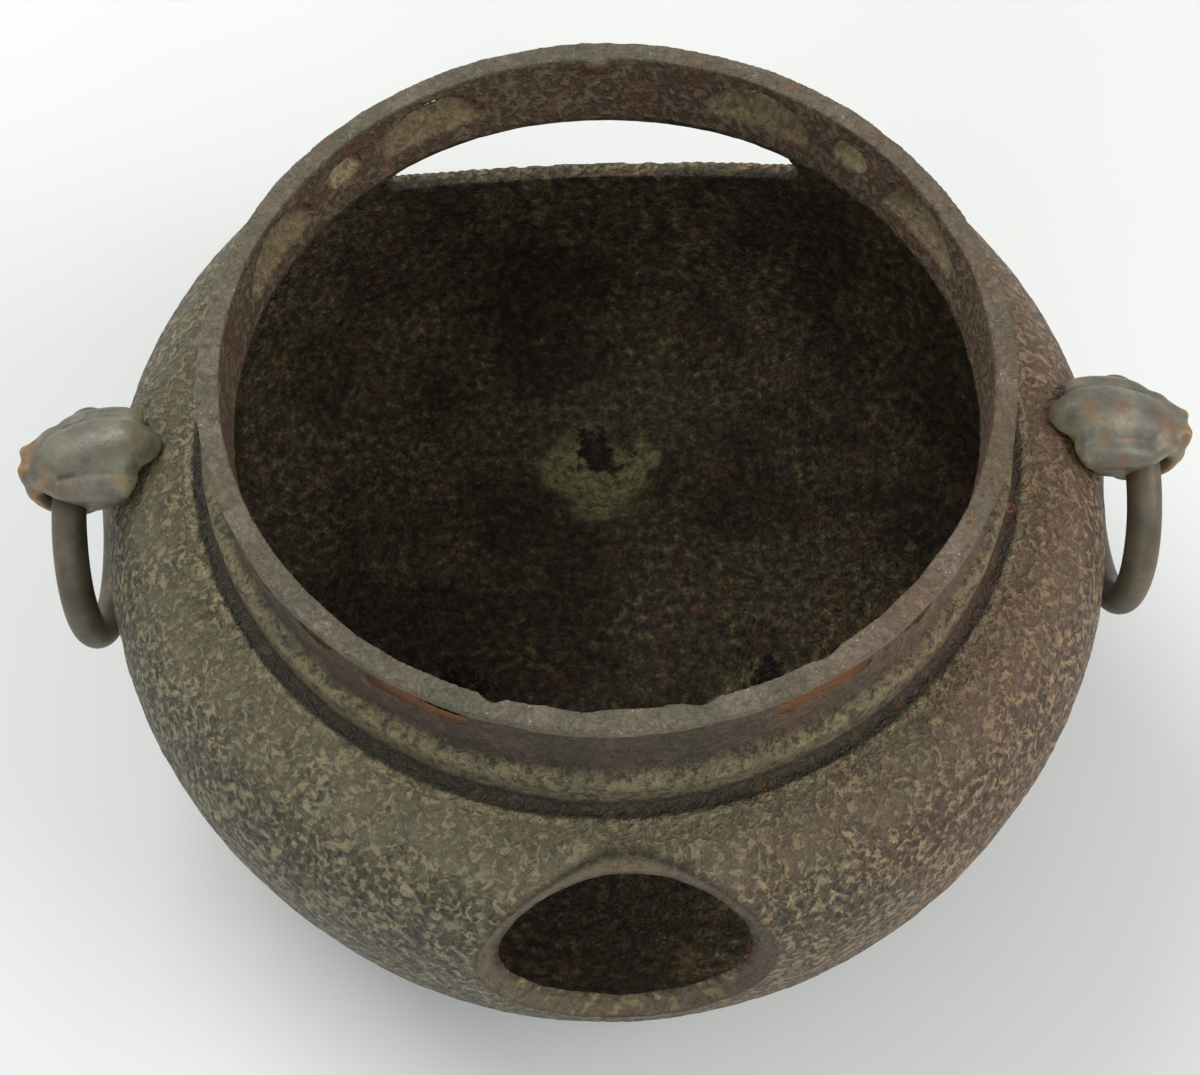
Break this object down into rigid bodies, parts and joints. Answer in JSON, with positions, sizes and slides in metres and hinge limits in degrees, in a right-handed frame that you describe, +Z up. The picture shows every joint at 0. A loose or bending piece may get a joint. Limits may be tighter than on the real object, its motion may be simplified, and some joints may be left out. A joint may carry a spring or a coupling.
{
  "type": "tea brazier",
  "caption": "Round cast-iron tea brazier with openwork collar, flat kettle rim, front fire window, rear draught window, side lugs with loose rings and stub feet.",
  "frame": {"origin": "on the floor, under the middle of the bowl", "axes": "+Z up, -Y towards the front with the fire window, +X towards the right-hand lug of someone facing the front"},
  "size_m": [0.3826, 0.3379, 0.225],
  "materials": {
    "pebbled_iron": "pebbled sand-cast skin with tan and olive patina",
    "lug_bronze": "smooth dark grey-green cast skin with brown tints",
    "ring_iron": "smooth dark forged bar, worn",
    "foot_iron": "plain cast skin"
  },
  "bodies": {
    "brazier": {"furo_body": "pebbled_iron", "lug_left": "lug_bronze", "lug_right": "lug_bronze", "foot_front": "foot_iron", "foot_left": "foot_iron", "foot_right": "foot_iron"},
    "ring_left": {"ring_left": "ring_iron"},
    "ring_right": {"ring_right": "ring_iron"}
  },
  "joints": [
    {"name": "ring_right_swing", "type": "hinge", "parent": "brazier", "child": "ring_right", "pos_m": [0.1765, 0, 0.16298], "axis": [0, -1, 0], "range_deg": [0, 85]},
    {"name": "ring_left_swing", "type": "hinge", "parent": "brazier", "child": "ring_left", "pos_m": [-0.1765, 0, 0.16298], "axis": [0, 1, 0], "range_deg": [0, 85]}
  ]
}
